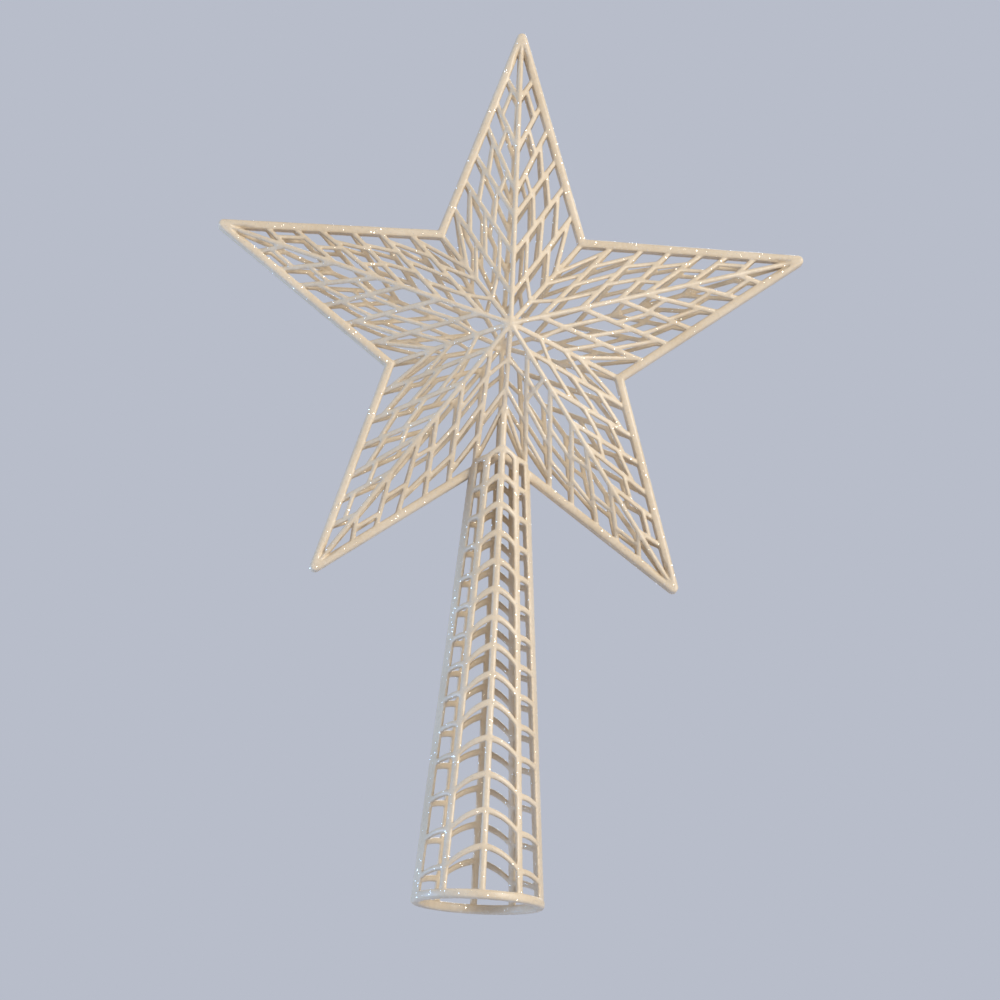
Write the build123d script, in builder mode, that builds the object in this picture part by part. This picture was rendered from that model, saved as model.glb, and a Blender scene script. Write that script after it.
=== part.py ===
from build123d import *
from math import atan2, cos, degrees, radians, tan
import os

# An openwork star topper, moulded as a front and a back half that meet on the XZ plane.
# Each half is a faceted star of flat lattice panels, a rim round them, and half of a tapered sleeve.
# The origin is the middle of the sleeve's mouth, +Z runs up the sleeve and the front faces -Y.

# Sizes of the star, in millimetres. Depths are measured out of the seam between the halves.
TIP_RADIUS = 99.4
CORNER_RADIUS = 39.1
APEX_DEPTH = 21.0
RIM_WIDTH = 2.5
RIM_STEP = 0.4
RIM_HEEL = 0.7
PANEL_DEPTH = 1.3
RIDGE_WIDTH = 1.75
VALLEY_WIDTH = 1.65
BRANCH_WIDTH = 1.6
STRUT_WIDTH = 1.45
TIP_FILL = 6.0
TIP_ROUND = 1.6

# Sizes of the sleeve and of the ring round its mouth
STAR_HEIGHT = 186.2
SLEEVE_TOP_RADIUS = 9.2
SLEEVE_WALL = 1.8
ROD_WIDTH = 2.0
EDGE_WIDTH = 2.3
RIB_WIDTH = 1.7
MOUTH_RADIUS = 18.6
RING_WIDTH = 2.8
RING_HEIGHT = 2.8
RING_LIP = 0.3
RING_ROUND = 0.8

# How the halves meet: the gap at the seam, and the pegs that locate one half on the other
SEAM_GAP = 0.2
PEG_RADIUS = 0.9
PEG_SETBACK = 2.2
PEG_CLEARANCE = 0.05
SOCKET_END_GAP = 0.2
SOCKET_FLOOR = 1.0

# The star's rule: branches leave each ridge in pairs, like the veins of a leaf, and end on the rim.
# Starts are shares of the way from apex to tip, ends of the way from inner corner to tip.
# Branch 0 is the valley between two points of the star.
POINTS = 5
HALF_POINT_ANGLE = 180 / POINTS
BRANCH_START_SHARES = (0, 0.101, 0.24, 0.37, 0.456, 0.604, 0.776)
BRANCH_END_SHARES = (0, 0.14, 0.28, 0.409, 0.556, 0.672, 0.795)

# Struts from each branch to the next one, as shares of the way from ridge to rim on the two branches
STRUT_SHARES = (
    ((0.27, 0.23), (0.49, 0.6), (0.62, 0.92)),
    ((0.22, 0.27), (0.44, 0.57), (0.7, 0.86)),
    ((0.39, 0.43), (0.69, 0.74)),
    ((0.38, 0.28), (0.65, 0.74)),
    ((0.59, 0.45),),
    ((0.7, 0.46),),
)

# One panel has an extra brace, from its ridge down to its first branch
BRACED_PANEL = "front_lower_right_panel_inner"
BRACE_RIDGE_SHARE = 0.205
BRACE_BRANCH_SHARE = 0.40

# The sleeve's rule: arched ribs drop from a middle rod to two side rods and on to the edges.
# The bays between ribs are short at the top, longer below, and longest above the ring.
# The ribs of the short upper bays drop more steeply than the ones below.
UPPER_BAYS = 9
LOWER_BAYS = 4
LOWER_BAY_GROWTH = 1.26
LAST_BAY_GROWTH = 1.57
TOP_RIB_RISE = 1.0
UPPER_RIB_ANGLE = 38
LOWER_RIB_ANGLE = 31
SIDE_RIB_ANGLE = 19
RIB_ARCH_SHARE = 0.09
SIDE_ROD_TOP_SHARE = 0.47
SIDE_ROD_MOUTH_SHARE = 0.58

# The way each half faces along Y, and the side of the sleeve along X
HALVES = {"front": -1, "back": 1}
SIDES = {"left": -1, "right": 1}

# Each point of the star, its angle from +X, and the turn from its ridge to each of its two panels
ARMS = (
    ("top", 90, {"left": 1, "right": -1}),
    ("right", 18, {"upper": 1, "lower": -1}),
    ("lower_right", -54, {"outer": 1, "inner": -1}),
    ("lower_left", -126, {"inner": 1, "outer": -1}),
    ("left", 162, {"lower": 1, "upper": -1}),
)

# Worked out from the sizes above
MIDDLE = Vector(0, STAR_HEIGHT)
FLAT_TIP = Vector(TIP_RADIUS, 0)
FLAT_CORNER = Vector(CORNER_RADIUS, 0).rotate(Axis.Z, HALF_POINT_ANGLE)
RIM_DISTANCE = FLAT_TIP.cross(FLAT_CORNER).length / (FLAT_TIP - FLAT_CORNER).length
RIM_SHARE = RIM_WIDTH / 2 / RIM_DISTANCE
INNER_RIM = 1 - RIM_SHARE
OUTER_RIM = 1 + RIM_SHARE
RIM_DEPTH = SEAM_GAP / 2 + RIM_HEEL + PANEL_DEPTH + RIM_STEP
RIM_LINE_DEPTH = (RIM_DEPTH - RIM_STEP - RIM_SHARE * APEX_DEPTH) / INNER_RIM
TIP_START = TIP_RADIUS - TIP_FILL
PEG_CIRCLE = TIP_START + PEG_SETBACK
CORNER_HEIGHT = STAR_HEIGHT - CORNER_RADIUS
RING_RADIUS = MOUTH_RADIUS + RING_WIDTH
SLEEVE_MOUTH_RADIUS = RING_RADIUS - RING_LIP
SOCKET_DEPTH = RIM_DEPTH - SEAM_GAP / 2 - SOCKET_FLOOR
PEG_LENGTH = SEAM_GAP + SOCKET_DEPTH - SOCKET_END_GAP

os.makedirs("parts", exist_ok=True)


def finish(builder, name):
    """Name one finished piece and write it."""
    builder.part.label = name
    export_step(builder.part, f"parts/{name}.step")


def half_plane(facing, depth):
    """The plane at a depth out of the seam that faces outwards, with +Z as its second axis."""
    return Plane(origin=(0, facing * depth, 0), x_dir=(-facing, 0, 0), z_dir=(0, facing, 0))


def flat_spot(radius, angle, facing):
    """A spot of the star on a half plane, at an angle from +X."""
    spot = MIDDLE + Vector(radius, 0).rotate(Axis.Z, angle)
    return Vector(-facing * spot.X, spot.Y)


def star_spot(radius, angle, depth, facing):
    """A spot of the star in space, at an angle from +X and a depth out of the seam."""
    spot = MIDDLE + Vector(radius, 0).rotate(Axis.Z, angle)
    return Vector(spot.X, facing * depth, spot.Y)


def star_outline(share, facing):
    """The corners of the star's outline on a half plane, its radii multiplied by a share."""
    corners = []
    for index in range(POINTS):
        angle = 90 + index * 2 * HALF_POINT_ANGLE
        corners.append(flat_spot(TIP_RADIUS * share, angle, facing))
        corners.append(flat_spot(CORNER_RADIUS * share, angle + HALF_POINT_ANGLE, facing))
    return corners


def tip_fence(mode):
    """Lay the five-sided figure whose sides cross the points where their solid tips begin."""
    with Locations(MIDDLE):
        RegularPolygon(TIP_START, POINTS, major_radius=False, rotation=90 + HALF_POINT_ANGLE, mode=mode)


def panel_corners(arm_angle, turn, facing):
    """The apex, the tip and the inner corner of one facet."""
    apex = star_spot(0, 0, APEX_DEPTH, facing)
    tip = star_spot(TIP_RADIUS, arm_angle, RIM_LINE_DEPTH, facing)
    corner = star_spot(CORNER_RADIUS, arm_angle + turn * HALF_POINT_ANGLE, RIM_LINE_DEPTH, facing)
    return apex, tip, corner


def panel_plane(apex, tip, corner):
    """The plane of one facet, its first axis along the ridge and its second towards the inner corner."""
    return Plane(origin=apex, x_dir=tip - apex, z_dir=(tip - apex).cross(corner - apex))


# The corners of a facet on its own plane, which are the same for every facet
SAMPLE = panel_corners(ARMS[0][1], 1, HALVES["front"])
PANEL_TIP = panel_plane(*SAMPLE).to_local_coords(SAMPLE[1])
PANEL_CORNER = panel_plane(*SAMPLE).to_local_coords(SAMPLE[2])


def ridge_spot(share):
    """A spot on the ridge, by its share of the way from the apex to the tip."""
    return PANEL_TIP * share


def rim_spot(share):
    """A spot on the rim, by its share of the way from the inner corner to the tip."""
    return PANEL_CORNER + (PANEL_TIP - PANEL_CORNER) * share


def branch_spot(index, share):
    """A spot on a branch, by its share of the way from the ridge to the rim."""
    start = ridge_spot(BRANCH_START_SHARES[index])
    end = rim_spot(BRANCH_END_SHARES[index])
    return start + (end - start) * share


def rod(start, end, width):
    """Lay one straight rod into the sketch that is open."""
    run = end - start
    with Locations((start + end) / 2):
        Rectangle(run.length + width, width, rotation=degrees(atan2(run.Y, run.X)))


# The lattice of one facet, ended at the rim's inner wall and at the solid tip of the point
TIP_RIDGE_SHARE = TIP_START / TIP_RADIUS
TIP_RIM_SHARE = (TIP_START - FLAT_CORNER.X) / (TIP_RADIUS - FLAT_CORNER.X)
with BuildSketch() as lattice:
    rod(ridge_spot(0), ridge_spot(1), RIDGE_WIDTH)
    rod(branch_spot(0, 0), branch_spot(0, 1), VALLEY_WIDTH)
    for index in range(1, len(BRANCH_START_SHARES)):
        rod(branch_spot(index, 0), branch_spot(index, 1), BRANCH_WIDTH)
    for index, struts in enumerate(STRUT_SHARES):
        for near_share, far_share in struts:
            rod(branch_spot(index, near_share), branch_spot(index + 1, far_share), STRUT_WIDTH)
with BuildSketch() as panel_outline:
    Polygon(ridge_spot(0), ridge_spot(INNER_RIM), PANEL_CORNER * INNER_RIM, align=None)
    Polygon(ridge_spot(0), ridge_spot(TIP_RIDGE_SHARE), rim_spot(TIP_RIM_SHARE), PANEL_CORNER,
            align=None, mode=Mode.INTERSECT)


def make_panel(name, plane, facing):
    """One flat lattice panel between a ridge, a valley and the rim, its walls all parallel to Y."""
    with BuildPart() as panel:
        with BuildSketch(plane):
            add(lattice.sketch)
            if name == BRACED_PANEL:
                rod(ridge_spot(BRACE_RIDGE_SHARE), branch_spot(1, BRACE_BRANCH_SHARE), STRUT_WIDTH)
            add(panel_outline.sketch, mode=Mode.INTERSECT)
        extrude(amount=PANEL_DEPTH, dir=(0, -facing, 0))
    finish(panel, name)


def make_star_body(facing):
    """The whole space behind the outer faces of one half of the star, rim included."""
    with BuildPart() as star_body:
        with BuildSketch(half_plane(facing, 0)):
            Polygon(*star_outline(OUTER_RIM, facing), align=None)
        extrude(amount=RIM_DEPTH)
        with BuildSketch(half_plane(facing, RIM_LINE_DEPTH), mode=Mode.PRIVATE) as rim_section:
            Polygon(*star_outline(1, facing), align=None)
        apex = Vertex(star_spot(0, 0, APEX_DEPTH, facing))
        loft(sections=[rim_section.sketch.face(), apex], ruled=True)
    return star_body


def make_bar(name, arm_angle, turn, facing):
    """One straight bar of the rim, from a mitre at an inner corner to the solid tip of a point."""
    corner_angle = arm_angle + turn * HALF_POINT_ANGLE
    with BuildPart() as bar:
        with BuildSketch(half_plane(facing, SEAM_GAP / 2)):
            Polygon(
                flat_spot(CORNER_RADIUS * INNER_RIM, corner_angle, facing),
                flat_spot(CORNER_RADIUS * OUTER_RIM, corner_angle, facing),
                flat_spot(TIP_RADIUS * OUTER_RIM, arm_angle, facing),
                flat_spot(TIP_RADIUS * INNER_RIM, arm_angle, facing),
                align=None,
            )
            tip_fence(Mode.INTERSECT)
        extrude(amount=RIM_DEPTH - SEAM_GAP / 2)
    finish(bar, name)


def peg_circles(radius):
    """Lay a circle for each peg into the sketch that is open."""
    with Locations(MIDDLE):
        with PolarLocations(PEG_CIRCLE, POINTS, start_angle=90):
            Circle(radius)


def make_tips(name, facing, star_body, has_sockets):
    """The solid rounded tips of the five points of one half."""
    with BuildPart() as tips:
        with BuildSketch(half_plane(facing, SEAM_GAP / 2)) as tip_outline:
            Polygon(*star_outline(OUTER_RIM, facing), align=None)
            sharp = [spot for spot in tip_outline.vertices() if (spot.center() - MIDDLE).length > TIP_RADIUS]
            fillet(sharp, radius=TIP_ROUND)
            tip_fence(Mode.SUBTRACT)
        extrude(amount=APEX_DEPTH)
        add(star_body.part, mode=Mode.INTERSECT)
        if has_sockets:
            with BuildSketch(half_plane(facing, SEAM_GAP / 2)):
                peg_circles(PEG_RADIUS + PEG_CLEARANCE)
            extrude(amount=SOCKET_DEPTH, mode=Mode.SUBTRACT)
    finish(tips, name)


def make_pegs(name, facing):
    """The locating pegs, which stand on the solid tips and reach across the seam."""
    with BuildPart() as pegs:
        with BuildSketch(half_plane(facing, SEAM_GAP / 2)):
            peg_circles(PEG_RADIUS)
        extrude(amount=-PEG_LENGTH)
    finish(pegs, name)


def sleeve_line(mouth_x, top_x):
    """A straight line up the sleeve, by its X at the ring and its X at the star's lowest inner corner."""
    return Vector(mouth_x, RING_HEIGHT), Vector(top_x, CORNER_HEIGHT)


def crossing(line, spot, slope):
    """Where a line up the sleeve crosses a line through a spot that drops by a slope along X."""
    foot, head = line
    run = head - foot
    share = (spot.Y - foot.Y - slope * (foot.X - spot.X)) / (run.Y + slope * run.X)
    return foot + run * share


def bay(inner, outer, upper, upper_slope, lower, lower_slope):
    """The corners of the field between two lines up the sleeve and two lines across it."""
    return (
        crossing(inner, upper, upper_slope),
        crossing(outer, upper, upper_slope),
        crossing(outer, lower, lower_slope),
        crossing(inner, lower, lower_slope),
    )


# The lines that bound the rods of the sleeve on its right side
SIDE_ROD_MOUTH = SIDE_ROD_MOUTH_SHARE * SLEEVE_MOUTH_RADIUS
SIDE_ROD_TOP = SIDE_ROD_TOP_SHARE * SLEEVE_TOP_RADIUS
MIDDLE_LINE = sleeve_line(0, 0)
MIDDLE_ROD_EDGE = sleeve_line(ROD_WIDTH / 2, ROD_WIDTH / 2)
SIDE_ROD_INNER = sleeve_line(SIDE_ROD_MOUTH - ROD_WIDTH / 2, SIDE_ROD_TOP - ROD_WIDTH / 2)
SIDE_ROD_LINE = sleeve_line(SIDE_ROD_MOUTH, SIDE_ROD_TOP)
SIDE_ROD_OUTER = sleeve_line(SIDE_ROD_MOUTH + ROD_WIDTH / 2, SIDE_ROD_TOP + ROD_WIDTH / 2)
EDGE_INNER = sleeve_line(SLEEVE_MOUTH_RADIUS - EDGE_WIDTH, SLEEVE_TOP_RADIUS - EDGE_WIDTH)
OUTSIDE = sleeve_line(SLEEVE_MOUTH_RADIUS + SLEEVE_WALL, SLEEVE_TOP_RADIUS + SLEEVE_WALL)

# The heights of the ribs on the middle rod, from the top one down, and the angle at which each drops
TOP_RIB = CORNER_HEIGHT + TOP_RIB_RISE
BAY_UNITS = UPPER_BAYS + LOWER_BAYS * LOWER_BAY_GROWTH + LAST_BAY_GROWTH
UPPER_BAY = (TOP_RIB - RING_HEIGHT) / BAY_UNITS
LOWER_BAY = UPPER_BAY * LOWER_BAY_GROWTH
RIBS = [(TOP_RIB, UPPER_RIB_ANGLE)]
for step, angle in [(UPPER_BAY, UPPER_RIB_ANGLE)] * UPPER_BAYS + [(LOWER_BAY, LOWER_RIB_ANGLE)] * LOWER_BAYS:
    RIBS.append((RIBS[-1][0] - step, angle))
RING_TOP = Vector(0, RING_HEIGHT)
MOUTH = Vector(0, 0)


def half_rib(angle):
    """Half of a rib's thickness, measured upright."""
    return Vector(0, RIB_WIDTH / 2 / cos(radians(angle)))


def face_rib(height, angle):
    """The middle of a rib where it leaves the middle rod, and its angle there."""
    return Vector(0, height), angle


def side_rib(height, angle):
    """The middle of a rib where it crosses the side rod, and its flatter angle from there on."""
    return crossing(SIDE_ROD_LINE, Vector(0, height), tan(radians(angle))), SIDE_RIB_ANGLE


def strip_fields(start, inner, outer, window_inner, window_outer):
    """The outline of one strip of the sleeve, and the windows between its ribs."""
    over_ribs = []
    under_ribs = []
    for rib in RIBS:
        spot, angle = start(*rib)
        over_ribs.append((spot + half_rib(angle), tan(radians(angle))))
        under_ribs.append((spot - half_rib(angle), tan(radians(angle))))
    outline = bay(inner, outer, *over_ribs[0], RING_TOP, 0)
    windows = []
    for upper, lower in zip(under_ribs, over_ribs[1:] + [(MOUTH, 0)]):
        windows.append(bay(window_inner, window_outer, *upper, *lower))
    return outline, windows


FACE_STRIP = strip_fields(face_rib, MIDDLE_LINE, SIDE_ROD_LINE, MIDDLE_ROD_EDGE, SIDE_ROD_INNER)
SIDE_STRIP = strip_fields(side_rib, SIDE_ROD_LINE, OUTSIDE, SIDE_ROD_OUTER, EDGE_INNER)

# The middle rod runs on above the top rib until it sinks into the star's lowest valley
TONGUE = (
    Vector(0, TOP_RIB),
    Vector(ROD_WIDTH / 2, TOP_RIB - ROD_WIDTH / 2 * tan(radians(UPPER_RIB_ANGLE))),
    Vector(ROD_WIDTH / 2, STAR_HEIGHT),
    MIDDLE,
)


def sleeve_radius(height):
    """The outer radius of the sleeve at a height."""
    share = (height - RING_HEIGHT) / (CORNER_HEIGHT - RING_HEIGHT)
    return SLEEVE_MOUTH_RADIUS + (SLEEVE_TOP_RADIUS - SLEEVE_MOUTH_RADIUS) * share


# The sleeve's wall as a full tapered tube, from the ring to the middle of the star
with BuildPart() as tube:
    with BuildSketch(Plane.XZ):
        Polygon(
            (sleeve_radius(RING_HEIGHT), RING_HEIGHT),
            (sleeve_radius(STAR_HEIGHT), STAR_HEIGHT),
            (sleeve_radius(STAR_HEIGHT) - SLEEVE_WALL, STAR_HEIGHT),
            (sleeve_radius(RING_HEIGHT) - SLEEVE_WALL, RING_HEIGHT),
            align=None,
        )
    revolve(axis=Axis.Z)


def bow(start, end):
    """Draw one edge of a rib, bowed upwards by a share of its length."""
    crown = (start + end) / 2 + Vector(0, RIB_ARCH_SHARE * (end - start).length)
    ThreePointArc(start, crown, end)


def cut_window(head_inner, head_outer, foot_outer, foot_inner):
    """Cut one window between two ribs into the sketch that is open."""
    with BuildLine() as window:
        bow(head_inner, head_outer)
        Line(head_outer, foot_outer)
        bow(foot_outer, foot_inner)
        Line(foot_inner, head_inner)
    make_face(window.edges(), mode=Mode.SUBTRACT)


def make_strip(name, facing, side, fields, star_body):
    """One strip of the sleeve from rod to rod, its windows cut straight along Y."""
    outline, windows = fields
    flip = -facing * side
    with BuildPart() as strip:
        with BuildSketch(half_plane(facing, SEAM_GAP / 2)):
            Polygon(*[(flip * spot.X, spot.Y) for spot in outline], align=None)
            if fields is FACE_STRIP:
                Polygon(*[(flip * spot.X, spot.Y) for spot in TONGUE], align=None)
            for window in windows:
                cut_window(*[Vector(flip * spot.X, spot.Y) for spot in window])
        extrude(amount=RING_RADIUS)
        add(tube.part, mode=Mode.INTERSECT)
        add(star_body.part, mode=Mode.SUBTRACT)
    finish(strip, name)


def make_half_ring(name, facing):
    """Half of the ring round the sleeve's mouth, with a plain inner wall."""
    with BuildPart() as ring:
        with BuildSketch(Plane.XZ) as section:
            with Locations((MOUTH_RADIUS + RING_WIDTH / 2, RING_HEIGHT / 2)):
                Rectangle(RING_WIDTH, RING_HEIGHT)
            outer_corners = section.vertices().group_by(Axis.X)[-1]
            fillet(outer_corners, radius=min(RING_ROUND, RING_HEIGHT / 3))
        revolve(axis=Axis.Z)
        split(bisect_by=half_plane(facing, SEAM_GAP / 2), keep=Keep.TOP)
    finish(ring, name)


for half, facing in HALVES.items():
    star_body = make_star_body(facing)
    for arm, angle, panels in ARMS:
        for panel_side, turn in panels.items():
            plane = panel_plane(*panel_corners(angle, turn, facing))
            make_panel(f"{half}_{arm}_panel_{panel_side}", plane, facing)
            make_bar(f"{half}_{arm}_rim_{panel_side}", angle, turn, facing)
    make_tips(f"{half}_tips", facing, star_body, has_sockets=half == "back")
    for side_name, side in SIDES.items():
        make_strip(f"{half}_sleeve_{side_name}_face", facing, side, FACE_STRIP, star_body)
        make_strip(f"{half}_sleeve_{side_name}_side", facing, side, SIDE_STRIP, star_body)
    make_half_ring(f"{half}_ring", facing)
make_pegs("front_pegs", HALVES["front"])
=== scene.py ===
# %% [markdown]
# # An openwork star topper
# The star is a light plastic moulding in two halves, a front and a back, that meet on a flat seam.
# Each half is a net of thin rods: leaf-vein panels on ten slanting facets, a rim round them, and
# half of a tapered sleeve that the star stands on.
# This lesson takes the exact solids of the two halves, turns each into one moulding of rounded rods,
# dusts it with glitter and photographs it from a little below.

# %% Load the exact solids
import math

import bpy
import bmesh
import numpy as np
from mathutils import Matrix, Vector


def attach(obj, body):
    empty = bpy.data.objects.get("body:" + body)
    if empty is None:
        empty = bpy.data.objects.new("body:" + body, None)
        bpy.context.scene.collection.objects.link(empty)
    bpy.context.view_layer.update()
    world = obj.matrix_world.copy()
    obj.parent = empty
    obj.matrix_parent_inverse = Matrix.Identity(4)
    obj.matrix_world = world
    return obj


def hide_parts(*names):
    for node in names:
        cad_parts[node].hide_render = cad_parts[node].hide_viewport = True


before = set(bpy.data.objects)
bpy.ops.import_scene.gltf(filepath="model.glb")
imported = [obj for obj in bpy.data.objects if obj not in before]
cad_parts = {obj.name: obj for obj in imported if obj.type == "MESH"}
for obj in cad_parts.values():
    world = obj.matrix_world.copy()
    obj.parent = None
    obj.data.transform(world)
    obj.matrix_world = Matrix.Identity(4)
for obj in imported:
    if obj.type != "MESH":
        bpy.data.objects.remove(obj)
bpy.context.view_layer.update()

MM = 0.001
halves = {"front": "front_half", "back": "back_half"}
members = {
    half: [name for name in sorted(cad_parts) if name.startswith(half + "_")] for half in halves
}
for half, names in members.items():
    print(half, "half is made of", len(names), "exact pieces")

# %% [markdown]
# ## Helpers for node trees
# A node tree written by hand gets long, so a few small helpers keep it readable. One adds a node, sets
# its options, and fills or links its inputs. Two more begin and end a geometry tree: it begins with
# named inputs, and it ends with no instances left and with the finish set, because only a plain mesh
# can be handed on. The last one runs a tree on a mesh. An input of a modifier is set through the
# socket's identifier, since its name alone does not reach it.


# %% Helpers that add nodes, make geometry trees and run them
def add_node(tree, kind, options=None, inputs=None):
    """Add one node, set its options, and fill or link its inputs."""
    node = tree.nodes.new(kind)
    for name, value in (options or {}).items():
        setattr(node, name, value)
    for key, value in (inputs or {}).items():
        if isinstance(value, bpy.types.NodeSocket):
            tree.links.new(value, node.inputs[key])
        else:
            node.inputs[key].default_value = value
    return node


def geometry_tree(name, settings):
    """Make a geometry tree whose inputs are a mesh, the named settings and a finish."""
    tree = bpy.data.node_groups.new(name, "GeometryNodeTree")
    tree.interface.new_socket("Geometry", in_out="INPUT", socket_type="NodeSocketGeometry")
    for label, kind in settings:
        tree.interface.new_socket(label, in_out="INPUT", socket_type=kind)
    tree.interface.new_socket("Finish", in_out="INPUT", socket_type="NodeSocketMaterial")
    tree.interface.new_socket("Geometry", in_out="OUTPUT", socket_type="NodeSocketGeometry")
    return tree, tree.nodes.new("NodeGroupInput").outputs


def end_tree(tree, geometry, finish):
    """End a geometry tree with real faces in their finish."""
    real = add_node(tree, "GeometryNodeRealizeInstances", inputs={"Geometry": geometry})
    finished = add_node(tree, "GeometryNodeSetMaterial",
                        inputs={"Geometry": real.outputs[0], "Material": finish})
    add_node(tree, "NodeGroupOutput", inputs={"Geometry": finished.outputs[0]})
    print(tree.name, "takes", len(tree.nodes), "nodes")


def run_tree(name, mesh, tree, values):
    """Run a geometry tree on a mesh and return the result as a plain mesh object."""
    source = bpy.data.objects.new(name + "_source", mesh)
    bpy.context.scene.collection.objects.link(source)
    modifier = source.modifiers.new(tree.name, "NODES")
    modifier.node_group = tree
    for item in tree.interface.items_tree:
        if item.in_out == "INPUT" and item.name in values:
            modifier[item.identifier] = values[item.name]
    evaluated = source.evaluated_get(bpy.context.evaluated_depsgraph_get())
    result = bpy.data.meshes.new_from_object(evaluated)
    bpy.data.objects.remove(source)
    result.name = name
    made = bpy.data.objects.new(name, result)
    bpy.context.scene.collection.objects.link(made)
    return made


print("helpers ready")

# %% [markdown]
# ## The finishes
# The plastic is a warm cream with a satin skin. Seen close, its colour drifts a little from rod to rod
# and the skin is slightly grainy from the fine glitter that is mixed into it. Both effects are noise
# in object space, so they stay on the part when it moves. They are made once, as a node group, and
# each material that needs them takes the group with its own values.

# %% A node group for the drifting colour and the grain of the skin
# Scales of the noise, in patches per metre: broad drifts of colour, fine specks and a finer grain.
DRIFT_SCALE = 45.0
SPECK_SCALE = 900.0
GRAIN_SCALE = 2600.0
DRIFT_DETAIL = 3.0
FINE_DETAIL = 2.0
SPECK_SHARE = 0.45
PALE_LEVEL = 0.5
DEEP_LEVEL = 0.95


def noise(tree, place, scale, detail):
    """A noise of so many patches per metre."""
    node = add_node(tree, "ShaderNodeTexNoise",
                    inputs={"Vector": place, "Scale": scale, "Detail": detail})
    return node.outputs[0]


def skin_group():
    """Colour, roughness and height of a moulded plastic skin, from noise at three scales."""
    group = bpy.data.node_groups.new("Moulded skin", "ShaderNodeTree")
    for label, kind in (
        ("Pale", "NodeSocketColor"),
        ("Deep", "NodeSocketColor"),
        ("Roughness", "NodeSocketFloat"),
        ("Roughness Drift", "NodeSocketFloat"),
    ):
        group.interface.new_socket(label, in_out="INPUT", socket_type=kind)
    for label, kind in (
        ("Color", "NodeSocketColor"),
        ("Roughness", "NodeSocketFloat"),
        ("Height", "NodeSocketFloat"),
    ):
        group.interface.new_socket(label, in_out="OUTPUT", socket_type=kind)
    taken = group.nodes.new("NodeGroupInput").outputs
    place = add_node(group, "ShaderNodeTexCoord").outputs["Object"]
    drift = noise(group, place, DRIFT_SCALE, DRIFT_DETAIL)
    speck = noise(group, place, SPECK_SCALE, FINE_DETAIL)
    grain = noise(group, place, GRAIN_SCALE, FINE_DETAIL)
    mixed = add_node(group, "ShaderNodeMath", {"operation": "MULTIPLY_ADD"},
                     {0: speck, 1: SPECK_SHARE, 2: drift})
    share = add_node(group, "ShaderNodeMapRange",
                     inputs={"Value": mixed.outputs[0], "From Min": PALE_LEVEL, "From Max": DEEP_LEVEL})
    colour = add_node(group, "ShaderNodeMix", {"data_type": "RGBA"},
                      {"Factor": share.outputs[0], 6: taken["Pale"], 7: taken["Deep"]})
    rough = add_node(group, "ShaderNodeMath", {"operation": "MULTIPLY_ADD"},
                     {0: share.outputs[0], 1: taken["Roughness Drift"], 2: taken["Roughness"]})
    add_node(group, "NodeGroupOutput",
             inputs={"Color": colour.outputs[2], "Roughness": rough.outputs[0], "Height": grain})
    return group


SKIN = skin_group()
print("skin group has", len(SKIN.nodes), "nodes")

# %% The cream plastic and the glitter
GRAIN_HEIGHT = 0.1 * MM
FOIL_SCALE = 1200.0
FOIL_DETAIL = 2.0


def linear(red, green, blue):
    """A colour as a paint chart gives it, 0 to 255, in the linear values that a shader works with."""
    parts = []
    for value in (red, green, blue):
        share = value / 255
        parts.append(share / 12.92 if share <= 0.04045 else ((share + 0.055) / 1.055) ** 2.4)
    return (*parts, 1.0)


def principled(name):
    """A new material, with its tree and its shader."""
    material = bpy.data.materials.new(name)
    material.use_nodes = True
    return material, material.node_tree, material.node_tree.nodes["Principled BSDF"]


def plastic(name, pale, deep, roughness, drift, bump):
    """Satin moulded plastic with a drifting colour and a grainy skin."""
    material, tree, shader = principled(name)
    skin = add_node(tree, "ShaderNodeGroup", {"node_tree": SKIN},
                    {"Pale": pale, "Deep": deep, "Roughness": roughness, "Roughness Drift": drift})
    grain = add_node(tree, "ShaderNodeBump",
                     inputs={"Height": skin.outputs["Height"], "Strength": bump, "Distance": GRAIN_HEIGHT})
    tree.links.new(skin.outputs["Color"], shader.inputs["Base Color"])
    tree.links.new(skin.outputs["Roughness"], shader.inputs["Roughness"])
    tree.links.new(grain.outputs["Normal"], shader.inputs["Normal"])
    return material


def foil(name, colour, roughness):
    """Bright metallic foil for the flakes of glitter, some of them shinier than others."""
    material, tree, shader = principled(name)
    place = add_node(tree, "ShaderNodeTexCoord").outputs["Object"]
    cells = noise(tree, place, FOIL_SCALE, FOIL_DETAIL)
    rough = add_node(tree, "ShaderNodeMapRange",
                     inputs={"Value": cells, "To Min": roughness / 2, "To Max": roughness * 2})
    tree.links.new(rough.outputs[0], shader.inputs["Roughness"])
    shader.inputs["Base Color"].default_value = colour
    shader.inputs["Metallic"].default_value = 1.0
    return material


CREAM = plastic("cream_plastic", pale=linear(230, 213, 186), deep=linear(214, 194, 163),
                roughness=0.30, drift=0.16, bump=0.3)
GLITTER = foil("glitter_foil", colour=linear(250, 246, 236), roughness=0.12)
print("materials:", CREAM.name, GLITTER.name)

# %% [markdown]
# ## One solid for each half
# The exact solids of a half only touch each other, face to face. The real half is one moulding, so the
# solids are joined first. Faces that merely touch leave slits when they are joined, because no two
# sets of numbers agree to the last digit. Each copy is therefore grown by two hundredths of a
# millimetre, and the join then has a sliver of overlap to work with.

# %% Join the solids of each half
GROWTH = 0.02 * MM
MERGE_DISTANCE = 0.001 * MM


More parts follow.
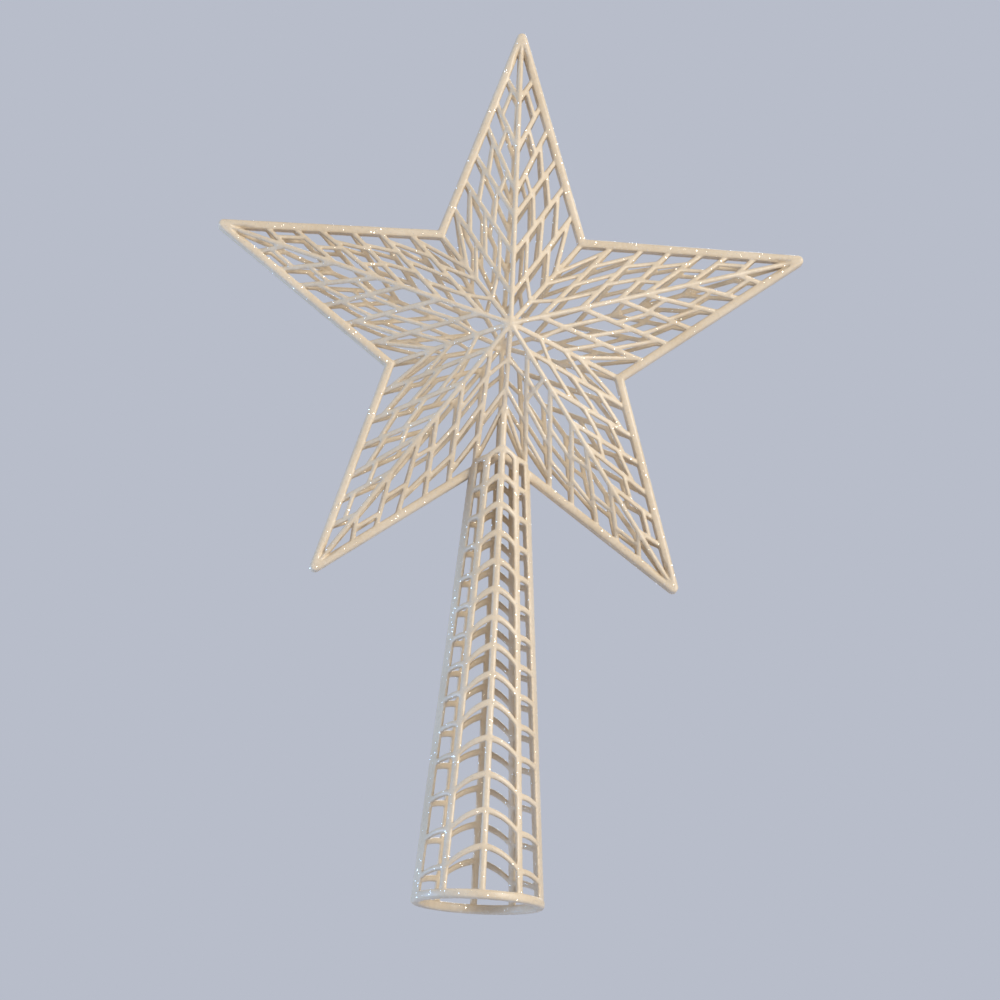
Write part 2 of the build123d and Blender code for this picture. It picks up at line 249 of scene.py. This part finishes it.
def grown_copy(name):
    """A copy of one exact solid, its doubled points merged, and a hair larger all round."""
    solid = bmesh.new()
    solid.from_mesh(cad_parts[name].data)
    bmesh.ops.remove_doubles(solid, verts=solid.verts, dist=MERGE_DISTANCE)
    solid.normal_update()
    steps = [spot.normal * (GROWTH * spot.calc_shell_factor()) for spot in solid.verts]
    for spot, step in zip(solid.verts, steps):
        spot.co += step
    mesh = bpy.data.meshes.new(name + "_copy")
    solid.to_mesh(mesh)
    solid.free()
    copy = bpy.data.objects.new(name + "_copy", mesh)
    bpy.context.scene.collection.objects.link(copy)
    return copy


def one_solid(names):
    """One closed mesh that fills the same space as all the named solids together."""
    base, *others = [grown_copy(name) for name in names]
    for other in others:
        union = base.modifiers.new(other.name, "BOOLEAN")
        union.operation = "UNION"
        union.solver = "MANIFOLD"
        union.object = other
    evaluated = base.evaluated_get(bpy.context.evaluated_depsgraph_get())
    joined = bpy.data.meshes.new_from_object(evaluated)
    for copy in (base, *others):
        bpy.data.objects.remove(copy)
    return joined


solids = {half: one_solid(members[half]) for half in halves}
for half, joined in solids.items():
    print(half, "half is one solid of", len(joined.polygons), "faces")

# %% [markdown]
# ## Rounding the rods
# The rods come out of the mould with round edges, while the corners between them stay crisp. A bevel
# cannot round hundreds of crossings, but a ball can: the moulding is every place that a small ball
# reaches while it rolls about inside the solid. So the solid is turned into a volume, peeled back by
# the ball's radius to find where the middle of the ball may go, and then a ball is set on every point
# of that core. In the volume the density climbs from nothing at the skin to full at the depth of the
# band, so the band's depth decides at which depth the core's level lies. Thick places stay hollow that
# way, so only the largest shell, the outer one, is kept.

# %% The tree that rolls a ball through a solid
CORE_LEVEL = 0.5
SKIN_LEVEL = 0.1
rolling, taken = geometry_tree(
    "Roll a ball through the solid",
    (("Voxel", "NodeSocketFloat"), ("Ball Radius", "NodeSocketFloat")),
)
band = add_node(rolling, "ShaderNodeMath", {"operation": "DIVIDE"},
                {0: taken["Ball Radius"], 1: CORE_LEVEL})
inside = add_node(rolling, "GeometryNodeMeshToVolume", {"resolution_mode": "VOXEL_SIZE"},
                  {"Mesh": taken["Geometry"], "Density": 1.0, "Voxel Size": taken["Voxel"],
                   "Interior Band Width": band.outputs[0]})
core = add_node(rolling, "GeometryNodeVolumeToMesh", {"resolution_mode": "GRID"},
                {"Volume": inside.outputs[0], "Threshold": CORE_LEVEL, "Adaptivity": 0.0})
middles = add_node(rolling, "GeometryNodeMeshToPoints", {"mode": "VERTICES"},
                   {"Mesh": core.outputs[0], "Radius": taken["Ball Radius"]})
balls = add_node(rolling, "GeometryNodePointsToVolume", {"resolution_mode": "VOXEL_SIZE"},
                 {"Points": middles.outputs[0], "Density": 1.0, "Voxel Size": taken["Voxel"],
                  "Radius": taken["Ball Radius"]})
shells = add_node(rolling, "GeometryNodeVolumeToMesh", {"resolution_mode": "GRID"},
                  {"Volume": balls.outputs[0], "Threshold": SKIN_LEVEL, "Adaptivity": 0.0})
island = add_node(rolling, "GeometryNodeInputMeshIsland")
tally = add_node(rolling, "GeometryNodeAccumulateField", {"data_type": "INT", "domain": "POINT"},
                 {"Value": 1, "Group ID": island.outputs["Island Index"]})
largest = add_node(rolling, "GeometryNodeAttributeStatistic", {"data_type": "FLOAT", "domain": "POINT"},
                   {"Geometry": shells.outputs[0], "Attribute": tally.outputs["Total"]})
small = add_node(rolling, "FunctionNodeCompare", {"data_type": "FLOAT", "operation": "LESS_THAN"},
                 {"A": tally.outputs["Total"], "B": largest.outputs["Max"]})
shell = add_node(rolling, "GeometryNodeDeleteGeometry", {"domain": "POINT"},
                 {"Geometry": shells.outputs[0], "Selection": small.outputs[0]})
end_tree(rolling, shell.outputs[0], taken["Finish"])

# %% [markdown]
# ## Flanks of the rim and the tips
# The rim is the thickest rod, and its section is a low roof: a narrow flat top with a flank on each
# side. In the tips the two rims and the ridge between them run together, and a groove stays on each
# side of the ridge. Both follow from one rule: no spot of the skin may stand higher than the rim's
# section or the ridge's section allows. All ten edges of the star are alike, so each spot is first
# folded round the middle of the star into one half of one point.

# %% The rule that shapes the rim and the tips
STAR_HEIGHT = 186.2 * MM
TIP_RADIUS = 99.4 * MM
CORNER_RADIUS = 39.1 * MM
POINT_ANGLE = math.tau / 5
RIM_TOP = 2.5 * MM
RIM_HALF = 1.25 * MM
RIM_REACH = 1.2 * RIM_HALF
RIM_FLAT_HALF = 0.3 * MM
OUTER_FLANK_DROP = 0.8 * MM
INNER_FLANK_DROP = 0.4 * MM
TIP_GROOVE_DROP = 1.3 * MM
TIP_RIM_HALF = 0.75 * MM
TIP_START = 88.0 * MM
TIP_LENGTH = 4.0 * MM
RIDGE_HALF = 0.5 * MM
RIDGE_DROP = 0.3 * MM
LOWEST_SHAPED = 1.2 * MM
HIGHEST_SHAPED = 2.8 * MM


def fold(side, rise):
    """Fold places on the star into half a point: the way along its ridge and the way off it."""
    turn = np.arctan2(side, rise) + POINT_ANGLE / 2
    folded = np.abs(turn % POINT_ANGLE - POINT_ANGLE / 2)
    radius = np.hypot(side, rise)
    return radius * np.cos(folded), radius * np.sin(folded)


def beyond_rim_line(along, off):
    """How far folded places lie outside the rim's middle line, less than nothing inside it."""
    corner = CORNER_RADIUS * np.array((math.cos(POINT_ANGLE / 2), math.sin(POINT_ANGLE / 2)))
    run = corner - (TIP_RADIUS, 0)
    outward = np.array((run[1], -run[0])) / np.hypot(*run)
    return (along - TIP_RADIUS) * outward[0] + off * outward[1]


def round_over(distance, flat, half, drop):
    """How far a rounded section has dropped at a distance from its middle line."""
    share = np.clip((distance - flat) / (half - flat), 0, 1)
    return drop * (1 - np.sqrt(1 - share * share))


def shape_rim(mesh, facing):
    """Lower every spot of the star's rim that stands above the section of the rim and of the ridge."""
    spots = np.empty(len(mesh.vertices) * 3, np.float32)
    mesh.vertices.foreach_get("co", spots)
    spots = spots.reshape(-1, 3)
    depth = facing * spots[:, 1]
    along, off = fold(spots[:, 0], spots[:, 2] - STAR_HEIGHT)
    across = beyond_rim_line(along, off)
    near_tip = np.clip((along - TIP_START) / TIP_LENGTH, 0, 1)
    inner_half = RIM_HALF + (TIP_RIM_HALF - RIM_HALF) * near_tip
    inner_drop = INNER_FLANK_DROP + (TIP_GROOVE_DROP - INNER_FLANK_DROP) * near_tip
    half = np.where(across > 0, RIM_HALF, inner_half)
    drop = np.where(across > 0, OUTER_FLANK_DROP, inner_drop)
    rim = RIM_TOP - round_over(np.abs(across), RIM_FLAT_HALF, half, drop)
    ridge = np.where(off < RIDGE_HALF, RIM_TOP - round_over(off, 0, RIDGE_HALF, RIDGE_DROP), 0)
    on_rim = (np.abs(across) < RIM_REACH) & (depth > LOWEST_SHAPED) & (depth < HIGHEST_SHAPED)
    lowered = np.minimum(depth, np.maximum(rim, ridge))
    spots[:, 1] = facing * np.where(on_rim, lowered, depth)
    mesh.vertices.foreach_set("co", spots.ravel())
    mesh.update()
    return int(np.count_nonzero(on_rim & (lowered < depth)))


print("rim is", round(2 * RIM_HALF / MM, 2), "mm wide")

# %% [markdown]
# ## Softening the skin
# A volume leaves fine steps in the skin that comes out of it. A light blur of the positions takes the
# steps out, and a small push along the normals gives back the width that blurring took. Finer voxels
# would need no blur, but they would take many times the memory.

# %% The tree that softens a skin
softening, taken = geometry_tree(
    "Soften the skin", (("Softening", "NodeSocketInt"), ("Push", "NodeSocketFloat"))
)
spot = add_node(softening, "GeometryNodeInputPosition")
soft = add_node(softening, "GeometryNodeBlurAttribute", {"data_type": "FLOAT_VECTOR"},
                {"Value": spot.outputs[0], "Iterations": taken["Softening"]})
softened = add_node(softening, "GeometryNodeSetPosition",
                    inputs={"Geometry": taken["Geometry"], "Position": soft.outputs[0]})
normal = add_node(softening, "GeometryNodeInputNormal")
push = add_node(softening, "ShaderNodeVectorMath", {"operation": "SCALE"},
                {0: normal.outputs[0], "Scale": taken["Push"]})
pushed = add_node(softening, "GeometryNodeSetPosition",
                  inputs={"Geometry": softened.outputs[0], "Offset": push.outputs[0]})
smooth = add_node(softening, "GeometryNodeSetShadeSmooth", inputs={"Geometry": pushed.outputs[0]})
end_tree(softening, smooth.outputs[0], taken["Finish"])

# %% [markdown]
# ## The two mouldings
# Each half now goes through the whole chain: the ball rolls, the rim is shaped and the skin is softened.
# The skin of so fine a net has more faces than anyone can see, so small faces are collapsed until a set
# number is left. Last, the spots that came to lie on the seam are set back by half of its gap, so that
# the flat faces of the two halves lie close without touching.

# %% Helpers that thin a skin and open the seam
HALF_SEAM = 0.08 * MM


def thin_out(piece, triangles):
    """Collapse the smallest faces of a piece until so many triangles are left, and give the old count."""
    count = sum(len(face.vertices) - 2 for face in piece.data.polygons)
    collapse = piece.modifiers.new("Thin", "DECIMATE")
    collapse.ratio = min(1.0, triangles / count)
    evaluated = piece.evaluated_get(bpy.context.evaluated_depsgraph_get())
    lighter = bpy.data.meshes.new_from_object(evaluated)
    piece.modifiers.clear()
    piece.data = lighter
    piece.data.name = piece.name
    return count


def open_seam(mesh, facing):
    """Set the spots that lie on the seam back by half of its gap, and count them."""
    on_seam = [spot for spot in mesh.vertices if abs(spot.co.y) < HALF_SEAM]
    for spot in on_seam:
        spot.co.y = facing * HALF_SEAM
    return len(on_seam)


print("seam is", round(2 * HALF_SEAM / MM, 2), "mm wide")

# %% Make both mouldings
VOXEL = 0.2 * MM
BALL_RADIUS = 0.38 * MM
SOFTENING_ROUNDS = 5
PUSH = 0.09 * MM
TRIANGLES = 185000
facing = {"front": -1, "back": 1}
mouldings = {}
for half, body in halves.items():
    rounded = run_tree(half + "_rounded", solids[half], rolling,
                       {"Voxel": VOXEL, "Ball Radius": BALL_RADIUS, "Finish": CREAM})
    shaped = shape_rim(rounded.data, facing[half])
    moulding = run_tree(half + "_moulding", rounded.data, softening,
                        {"Softening": SOFTENING_ROUNDS, "Push": PUSH, "Finish": CREAM})
    bpy.data.objects.remove(rounded)
    before = thin_out(moulding, TRIANGLES)
    on_seam = open_seam(moulding.data, facing[half])
    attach(moulding, body)
    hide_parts(*members[half])
    mouldings[half] = moulding
    print(moulding.name, "had", before, "triangles and now has", len(moulding.data.polygons))
    print("its rim was lowered at", shaped, "spots, and", on_seam, "spots lie on the seam")

# %% [markdown]
# ## Glitter
# A thin dusting of silver glitter lies on the plastic and catches the light as tiny points. Each flake
# is a six-sided disc, a tenth to a quarter of a millimetre across. They are scattered over the moulding
# with a fixed seed, turned to lie nearly flat on it, and tilted a little at random, because flakes that
# all lay quite flat would never catch the light one by one. Specks painted into the plastic would be
# simpler, but they would not flash as the part turns.

# %% The tree that dusts a surface with flakes
FLAKE_SIDES = 6
SMALLEST_FLAKE = 0.5
LARGEST_FLAKE = 1.2
dusting, taken = geometry_tree(
    "Dust with glitter",
    (
        ("Density", "NodeSocketFloat"),
        ("Flake Radius", "NodeSocketFloat"),
        ("Tilt", "NodeSocketFloat"),
        ("Lift", "NodeSocketFloat"),
        ("Seed", "NodeSocketInt"),
    ),
)
points = add_node(dusting, "GeometryNodeDistributePointsOnFaces",
                  inputs={"Mesh": taken["Geometry"], "Density": taken["Density"], "Seed": taken["Seed"]})
flake = add_node(dusting, "GeometryNodeMeshCircle", {"fill_type": "NGON"},
                 {"Vertices": FLAKE_SIDES, "Radius": taken["Flake Radius"]})
size = add_node(dusting, "FunctionNodeRandomValue", {"data_type": "FLOAT"},
                {2: SMALLEST_FLAKE, 3: LARGEST_FLAKE, "Seed": taken["Seed"]})
against = add_node(dusting, "ShaderNodeMath", {"operation": "MULTIPLY"}, {0: taken["Tilt"], 1: -1.0})
low = add_node(dusting, "ShaderNodeCombineXYZ", inputs={0: against.outputs[0], 1: against.outputs[0]})
high = add_node(dusting, "ShaderNodeCombineXYZ", inputs={0: taken["Tilt"], 1: taken["Tilt"], 2: math.tau})
turn = add_node(dusting, "FunctionNodeRandomValue", {"data_type": "FLOAT_VECTOR"},
                {0: low.outputs[0], 1: high.outputs[0], "Seed": taken["Seed"]})
tilted = add_node(dusting, "FunctionNodeRotateEuler", {"rotation_type": "EULER", "space": "LOCAL"},
                  {"Rotation": points.outputs["Rotation"], "Rotate By": turn.outputs[0]})
lift = add_node(dusting, "ShaderNodeVectorMath", {"operation": "SCALE"},
                {0: points.outputs["Normal"], "Scale": taken["Lift"]})
lifted = add_node(dusting, "GeometryNodeSetPosition",
                  inputs={"Geometry": points.outputs["Points"], "Offset": lift.outputs[0]})
placed = add_node(dusting, "GeometryNodeInstanceOnPoints",
                  inputs={"Points": lifted.outputs[0], "Instance": flake.outputs[0],
                          "Rotation": tilted.outputs[0], "Scale": size.outputs[1]})
end_tree(dusting, placed.outputs[0], taken["Finish"])

# %% Dust both halves
FLAKES_PER_SQUARE_METRE = 1.2e6
FLAKE_RADIUS = 0.10 * MM
TILT = 0.45
LIFT = 0.03 * MM
FIRST_SEED = 7
for seed, (half, body) in enumerate(halves.items(), start=FIRST_SEED):
    flakes = run_tree(
        half + "_glitter", mouldings[half].data.copy(), dusting,
        {"Density": FLAKES_PER_SQUARE_METRE, "Flake Radius": FLAKE_RADIUS, "Tilt": TILT, "Lift": LIFT,
         "Seed": seed, "Finish": GLITTER},
    )
    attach(flakes, body)
    print(flakes.name, "has", len(flakes.data.polygons), "flakes")

# %% [markdown]
# ## Floor and sky
# The part floats over a plain pale floor, under a pale sky. Both have to look pale without throwing more
# light on the part than it needs. So a mask picks out the rays that the camera sees, straight or by
# way of gloss: for them the sky has the pale colour and the floor glows a little, while all other rays
# find a dimmer sky and a floor that only throws back the light it gets.

# %% A pale floor and a pale sky
PALE = linear(184, 189, 202)
AMBIENT = (0.40, 0.42, 0.485, 1.0)
FLOOR_HEIGHT = -0.9
FLOOR_RADIUS = 30.0
FLOOR_SIDES = 96
FLOOR_GLOW = 0.55
disc = bmesh.new()
bmesh.ops.create_circle(disc, cap_ends=True, segments=FLOOR_SIDES, radius=FLOOR_RADIUS,
                        matrix=Matrix.Translation((0, 0, FLOOR_HEIGHT)))
floor_mesh = bpy.data.meshes.new("floor")
disc.to_mesh(floor_mesh)
disc.free()
floor = bpy.data.objects.new("floor", floor_mesh)
bpy.context.scene.collection.objects.link(floor)


def seen_rays(tree):
    """A mask that is 1 for rays from the camera, straight or by way of gloss or glass."""
    rays = add_node(tree, "ShaderNodeLightPath")
    mirrored = add_node(tree, "ShaderNodeMath", {"operation": "MAXIMUM"},
                        {0: rays.outputs["Is Glossy Ray"], 1: rays.outputs["Is Transmission Ray"]})
    seen = add_node(tree, "ShaderNodeMath", {"operation": "MAXIMUM"},
                    {0: rays.outputs["Is Camera Ray"], 1: mirrored.outputs[0]})
    return seen.outputs[0]


paper, paper_tree, paper_shader = principled("pale_paper")
glow = add_node(paper_tree, "ShaderNodeMath", {"operation": "MULTIPLY"},
                {0: seen_rays(paper_tree), 1: FLOOR_GLOW})
paper_tree.links.new(glow.outputs[0], paper_shader.inputs["Emission Strength"])
paper_shader.inputs["Emission Color"].default_value = PALE
paper_shader.inputs["Base Color"].default_value = PALE
paper_shader.inputs["Roughness"].default_value = 0.9
floor_mesh.materials.append(paper)

world = bpy.data.worlds.new("studio")
world.use_nodes = True
sky = world.node_tree
background = sky.nodes["Background"]
shown = add_node(sky, "ShaderNodeMix", {"data_type": "RGBA"},
                 {"Factor": seen_rays(sky), 6: AMBIENT, 7: PALE})
sky.links.new(shown.outputs[2], background.inputs["Color"])
background.inputs["Strength"].default_value = 1.0
bpy.context.scene.world = world
print("floor at", FLOOR_HEIGHT, "m")

# %% [markdown]
# ## Lamps
# Thin rods need soft light, or their shadows on each other turn into a tangle. Three broad lamps give
# it: a warm key at the front right, a weaker cool one at the left, which tints the left side of each
# rod, and a third one behind, which lights the edges of the rods against the sky.

# %% Soft lamps
AIM = Vector((0, 0, 0.18))


def soft_lamp(name, place, size, watts, colour):
    """A square lamp that faces the part."""
    data = bpy.data.lights.new(name, "AREA")
    data.shape = "SQUARE"
    data.size = size
    data.energy = watts
    data.color = colour
    lamp = bpy.data.objects.new(name, data)
    lamp.location = place
    lamp.rotation_euler = (AIM - Vector(place)).to_track_quat("-Z", "Y").to_euler()
    bpy.context.scene.collection.objects.link(lamp)


soft_lamp("key", place=(1.8, -2.1, 0.9), size=1.1, watts=66, colour=(1.0, 0.95, 0.87))
soft_lamp("cool_side", place=(-2.0, 0.0, -0.1), size=0.9, watts=27, colour=(0.38, 0.60, 1.0))
soft_lamp("back", place=(0.8, 2.6, 1.6), size=1.2, watts=30, colour=(0.9, 0.95, 1.0))
print("lamps:", [light.name for light in bpy.data.lights])

# %% [markdown]
# ## Camera
# The camera stands well back, below the star and a little to its left, with a long lens that keeps the
# points even. Three turns aim it: to the side, upwards and about its own line of sight.

# %% The camera
LENS_PIXELS = 8000
IMAGE_PIXELS = 1000
SENSOR_WIDTH = 36.0
FARTHEST = 100.0
CAMERA_PLACE = (-0.1554, -2.5370, -0.3143)
YAW = math.radians(3.52)
PITCH = math.radians(9.96)
ROLL = math.radians(2.93)
forward = Vector((math.sin(YAW) * math.cos(PITCH), math.cos(YAW) * math.cos(PITCH), math.sin(PITCH)))
level = Vector((math.cos(YAW), -math.sin(YAW), 0))
upright = level.cross(forward)
right = math.cos(ROLL) * level + math.sin(ROLL) * upright
up = math.cos(ROLL) * upright - math.sin(ROLL) * level
aimed = Matrix((right, up, -forward)).transposed().to_4x4()
camera_data = bpy.data.cameras.new("camera")
camera_data.sensor_width = SENSOR_WIDTH
camera_data.lens = LENS_PIXELS * SENSOR_WIDTH / IMAGE_PIXELS
camera_data.clip_end = FARTHEST
camera = bpy.data.objects.new("camera", camera_data)
camera.matrix_world = Matrix.Translation(CAMERA_PLACE) @ aimed
bpy.context.scene.collection.objects.link(camera)
bpy.context.scene.camera = camera
bpy.context.scene.view_settings.view_transform = "Standard"
print("camera at", tuple(round(value, 3) for value in camera.location))

# %% [markdown]
# ## Finish
# At the end the scene is brought up to date. The dressed part has to stay close to the box of the
# exact solids.

# %% Bring the scene up to date
bpy.context.view_layer.update()
